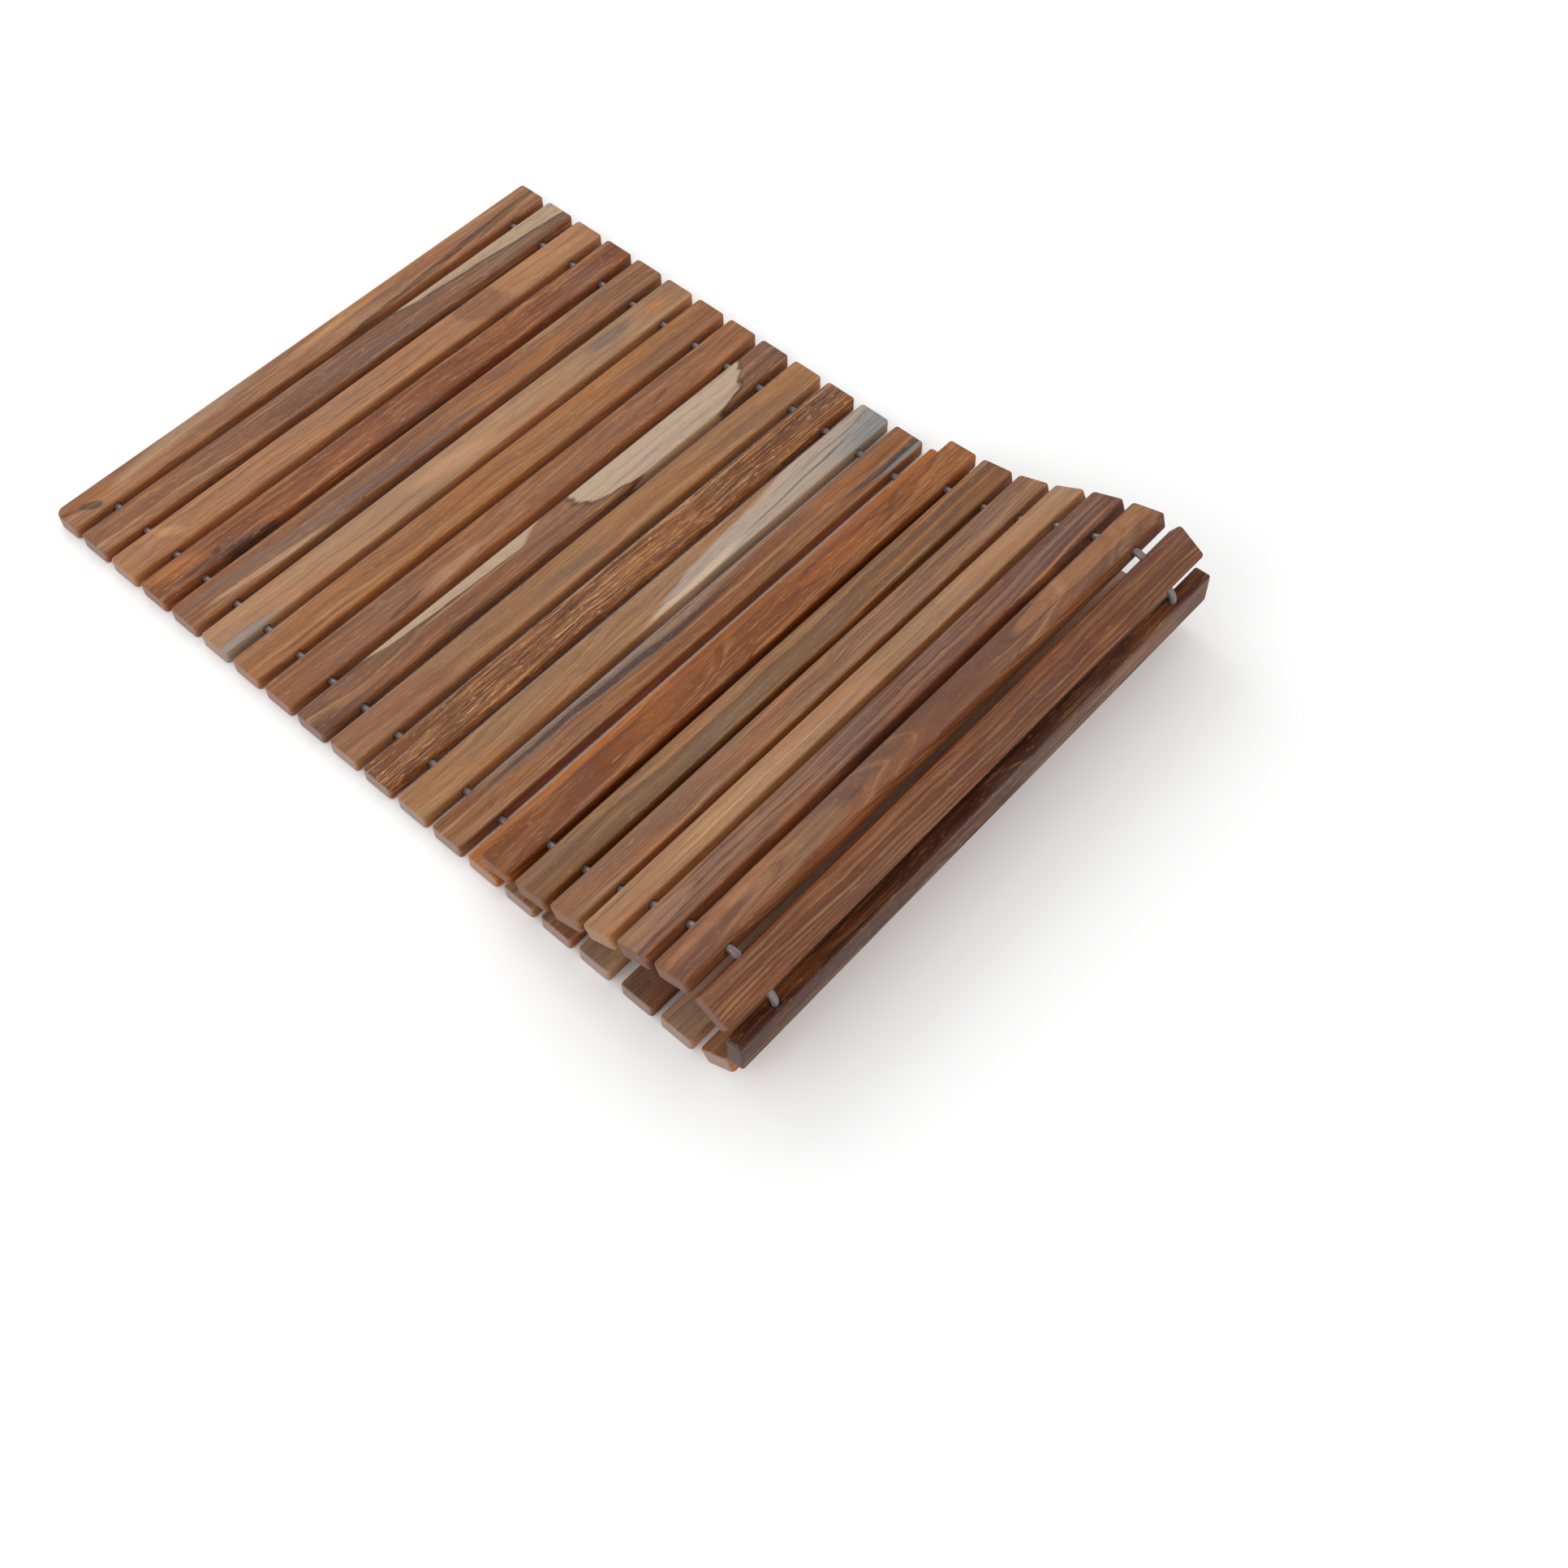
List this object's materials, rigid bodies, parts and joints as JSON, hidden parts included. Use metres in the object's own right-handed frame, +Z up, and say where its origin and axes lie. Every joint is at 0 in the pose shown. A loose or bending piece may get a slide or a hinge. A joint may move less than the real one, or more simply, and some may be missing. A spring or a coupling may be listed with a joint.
{
  "type": "bath mat",
  "caption": "Slatted teak bath mat threaded on two clear cords, lying flat with one end folded back over itself; it unfolds flat and rolls up.",
  "frame": {"origin": "on the floor under the middle of the mat's outline, with its right-hand end folded back over itself", "axes": "+X along the mat from its flat end towards the fold, across the slats; +Y along the slats; +Z up"},
  "size_m": [0.725, 0.506, 0.0966],
  "materials": {
    "teak_01": "oiled, planed",
    "teak_02": "oiled, planed",
    "teak_03": "oiled, planed",
    "teak_04": "oiled, planed",
    "teak_05": "oiled, planed",
    "teak_06": "oiled, planed",
    "teak_07": "oiled, planed",
    "teak_08": "oiled, planed",
    "teak_09": "oiled, planed",
    "teak_10": "oiled, planed",
    "teak_11": "oiled, planed",
    "teak_12": "oiled, planed",
    "teak_13": "oiled, planed",
    "teak_14": "oiled, planed",
    "teak_15": "oiled, planed",
    "teak_16": "oiled, planed",
    "teak_17": "oiled, planed",
    "teak_18": "oiled, planed",
    "teak_19": "oiled, planed",
    "teak_20": "oiled, planed",
    "teak_21": "oiled, planed",
    "teak_22": "oiled, planed",
    "teak_23": "oiled, planed",
    "teak_24": "oiled, planed",
    "teak_25": "oiled, planed",
    "teak_26": "oiled, planed",
    "teak_27": "oiled, planed",
    "teak_28": "oiled, planed",
    "clear_cord": "clear flexible plastic"
  },
  "bodies": {
    "link_01": {"slat_01": "teak_01", "cord_pair_01": "clear_cord"},
    "link_02": {"slat_02": "teak_02", "cord_pair_02": "clear_cord"},
    "link_03": {"slat_03": "teak_03", "cord_pair_03": "clear_cord"},
    "link_04": {"slat_04": "teak_04", "cord_pair_04": "clear_cord"},
    "link_05": {"slat_05": "teak_05", "cord_pair_05": "clear_cord"},
    "link_06": {"slat_06": "teak_06", "cord_pair_06": "clear_cord"},
    "link_07": {"slat_07": "teak_07", "cord_pair_07": "clear_cord"},
    "link_08": {"slat_08": "teak_08", "cord_pair_08": "clear_cord"},
    "link_09": {"slat_09": "teak_09", "cord_pair_09": "clear_cord"},
    "link_10": {"slat_10": "teak_10", "cord_pair_10": "clear_cord"},
    "link_11": {"slat_11": "teak_11", "cord_pair_11": "clear_cord"},
    "link_12": {"slat_12": "teak_12", "cord_pair_12": "clear_cord"},
    "link_13": {"slat_13": "teak_13", "cord_pair_13": "clear_cord"},
    "link_14": {"slat_14": "teak_14", "cord_pair_14": "clear_cord"},
    "link_15": {"slat_15": "teak_15", "cord_pair_15": "clear_cord"},
    "link_16": {"slat_16": "teak_16", "cord_pair_16": "clear_cord"},
    "link_17": {"slat_17": "teak_17", "cord_pair_17": "clear_cord"},
    "link_18": {"slat_18": "teak_18", "cord_pair_18": "clear_cord"},
    "link_19": {"slat_19": "teak_19", "cord_pair_19": "clear_cord"},
    "link_20": {"slat_20": "teak_20", "cord_pair_20": "clear_cord"},
    "link_21": {"slat_21": "teak_21", "cord_pair_21": "clear_cord"},
    "link_22": {"slat_22": "teak_22", "cord_pair_22": "clear_cord"},
    "link_23": {"slat_23": "teak_23", "cord_pair_23": "clear_cord"},
    "link_24": {"slat_24": "teak_24", "cord_pair_24": "clear_cord"},
    "link_25": {"slat_25": "teak_25", "cord_pair_25": "clear_cord"},
    "link_26": {"slat_26": "teak_26", "cord_pair_26": "clear_cord"},
    "link_27": {"slat_27": "teak_27", "cord_pair_27": "clear_cord"},
    "link_28": {"slat_28": "teak_28", "cord_pair_28": "clear_cord"}
  },
  "joints": [
    {"name": "roll_gap_01", "type": "hinge", "parent": "link_02", "child": "link_01", "pos_m": [-0.33223, 0, 0.0065], "axis": [0, 1, 0], "range_deg": [0, 57]},
    {"name": "roll_gap_02", "type": "hinge", "parent": "link_03", "child": "link_02", "pos_m": [-0.29623, 0, 0.0065], "axis": [0, 1, 0], "range_deg": [0, 57]},
    {"name": "roll_gap_03", "type": "hinge", "parent": "link_04", "child": "link_03", "pos_m": [-0.26023, 0, 0.0065], "axis": [0, 1, 0], "range_deg": [0, 57]},
    {"name": "roll_gap_04", "type": "hinge", "parent": "link_05", "child": "link_04", "pos_m": [-0.22423, 0, 0.0065], "axis": [0, 1, 0], "range_deg": [0, 54]},
    {"name": "roll_gap_05", "type": "hinge", "parent": "link_06", "child": "link_05", "pos_m": [-0.18823, 0, 0.0065], "axis": [0, 1, 0], "range_deg": [0, 46]},
    {"name": "roll_gap_06", "type": "hinge", "parent": "link_07", "child": "link_06", "pos_m": [-0.15223, 0, 0.0065], "axis": [0, 1, 0], "range_deg": [0, 43]},
    {"name": "roll_gap_07", "type": "hinge", "parent": "link_08", "child": "link_07", "pos_m": [-0.11623, 0, 0.0065], "axis": [0, 1, 0], "range_deg": [0, 43]},
    {"name": "roll_gap_08", "type": "hinge", "parent": "link_09", "child": "link_08", "pos_m": [-0.08023, 0, 0.0065], "axis": [0, 1, 0], "range_deg": [0, 42]},
    {"name": "roll_gap_09", "type": "hinge", "parent": "link_10", "child": "link_09", "pos_m": [-0.04423, 0, 0.0065], "axis": [0, 1, 0], "range_deg": [0, 42]},
    {"name": "roll_gap_10", "type": "hinge", "parent": "link_11", "child": "link_10", "pos_m": [-0.00823, 0, 0.0065], "axis": [0, 1, 0], "range_deg": [0, 30]},
    {"name": "bend_gap_11", "type": "hinge", "parent": "link_12", "child": "link_11", "pos_m": [0.02777, 0, 0.0065], "axis": [0, 1, 0], "range_deg": [-30, 30]},
    {"name": "bend_gap_12", "type": "hinge", "parent": "link_13", "child": "link_12", "pos_m": [0.06377, 0, 0.0065], "axis": [0, 1, 0], "range_deg": [-30, 30]},
    {"name": "bend_gap_13", "type": "hinge", "parent": "link_14", "child": "link_13", "pos_m": [0.09977, 0, 0.0065], "axis": [0, 1, 0], "range_deg": [-30, 30]},
    {"name": "bend_gap_14", "type": "hinge", "parent": "link_14", "child": "link_15", "pos_m": [0.13577, 0, 0.0065], "axis": [0, 1, 0], "range_deg": [0, 30]},
    {"name": "bend_gap_15", "type": "hinge", "parent": "link_15", "child": "link_16", "pos_m": [0.17177, 0, 0.0065], "axis": [0, 1, 0], "range_deg": [0, 30]},
    {"name": "bend_gap_16", "type": "hinge", "parent": "link_16", "child": "link_17", "pos_m": [0.20777, 0, 0.0065], "axis": [0, 1, 0], "range_deg": [0, 30]},
    {"name": "bend_gap_17", "type": "hinge", "parent": "link_17", "child": "link_18", "pos_m": [0.24577, 0, 0.0065], "axis": [0, 1, 0], "range_deg": [0, 30]},
    {"name": "bend_gap_18", "type": "hinge", "parent": "link_18", "child": "link_19", "pos_m": [0.28377, 0, 0.0065], "axis": [0, 1, 0], "range_deg": [0, 30]},
    {"name": "fold_gap_19", "type": "hinge", "parent": "link_19", "child": "link_20", "pos_m": [0.32227, 0, 0.0065], "axis": [0, 1, 0], "range_deg": [0, 35]},
    {"name": "fold_gap_20", "type": "hinge", "parent": "link_20", "child": "link_21", "pos_m": [0.35627, 0, 0.0303], "axis": [0, 1, 0], "range_deg": [0, 57]},
    {"name": "fold_gap_21", "type": "hinge", "parent": "link_21", "child": "link_22", "pos_m": [0.35482, 0, 0.07178], "axis": [0, 1, 0], "range_deg": [0, 57]},
    {"name": "fold_gap_22", "type": "hinge", "parent": "link_22", "child": "link_23", "pos_m": [0.32096, 0, 0.09212], "axis": [0, 1, 0], "range_deg": [0, 48]},
    {"name": "fold_gap_23", "type": "hinge", "parent": "link_23", "child": "link_24", "pos_m": [0.28558, 0, 0.0813], "axis": [0, 1, 0], "range_deg": [0, 6]},
    {"name": "fold_gap_24", "type": "hinge", "parent": "link_24", "child": "link_25", "pos_m": [0.25244, 0, 0.06724], "axis": [0, 1, 0], "range_deg": [0, 6]},
    {"name": "fold_gap_25", "type": "hinge", "parent": "link_25", "child": "link_26", "pos_m": [0.22095, 0, 0.04978], "axis": [0, 1, 0], "range_deg": [-8, 0]},
    {"name": "fold_gap_26", "type": "hinge", "parent": "link_26", "child": "link_27", "pos_m": [0.18734, 0, 0.03688], "axis": [0, 1, 0], "range_deg": [-10, 0]},
    {"name": "fold_gap_27", "type": "hinge", "parent": "link_27", "child": "link_28", "pos_m": [0.15201, 0, 0.03001], "axis": [0, 1, 0], "range_deg": [-8, 0]}
  ],
  "couplings": [
    {"joint": "roll_gap_01", "follows": "roll_gap_10", "ratio": 1.9},
    {"joint": "roll_gap_02", "follows": "roll_gap_10", "ratio": 1.9},
    {"joint": "roll_gap_03", "follows": "roll_gap_10", "ratio": 1.9},
    {"joint": "roll_gap_04", "follows": "roll_gap_10", "ratio": 1.8},
    {"joint": "roll_gap_05", "follows": "roll_gap_10", "ratio": 1.5333},
    {"joint": "roll_gap_06", "follows": "roll_gap_10", "ratio": 1.4333},
    {"joint": "roll_gap_07", "follows": "roll_gap_10", "ratio": 1.4333},
    {"joint": "roll_gap_08", "follows": "roll_gap_10", "ratio": 1.4},
    {"joint": "roll_gap_09", "follows": "roll_gap_10", "ratio": 1.4},
    {"joint": "fold_gap_20", "follows": "fold_gap_19", "ratio": 1.6286},
    {"joint": "fold_gap_21", "follows": "fold_gap_19", "ratio": 1.6286},
    {"joint": "fold_gap_22", "follows": "fold_gap_19", "ratio": 1.3714},
    {"joint": "fold_gap_23", "follows": "fold_gap_19", "ratio": 0.17143},
    {"joint": "fold_gap_24", "follows": "fold_gap_19", "ratio": 0.17143},
    {"joint": "fold_gap_25", "follows": "fold_gap_19", "ratio": -0.22857},
    {"joint": "fold_gap_26", "follows": "fold_gap_19", "ratio": -0.28571},
    {"joint": "fold_gap_27", "follows": "fold_gap_19", "ratio": -0.22857}
  ]
}
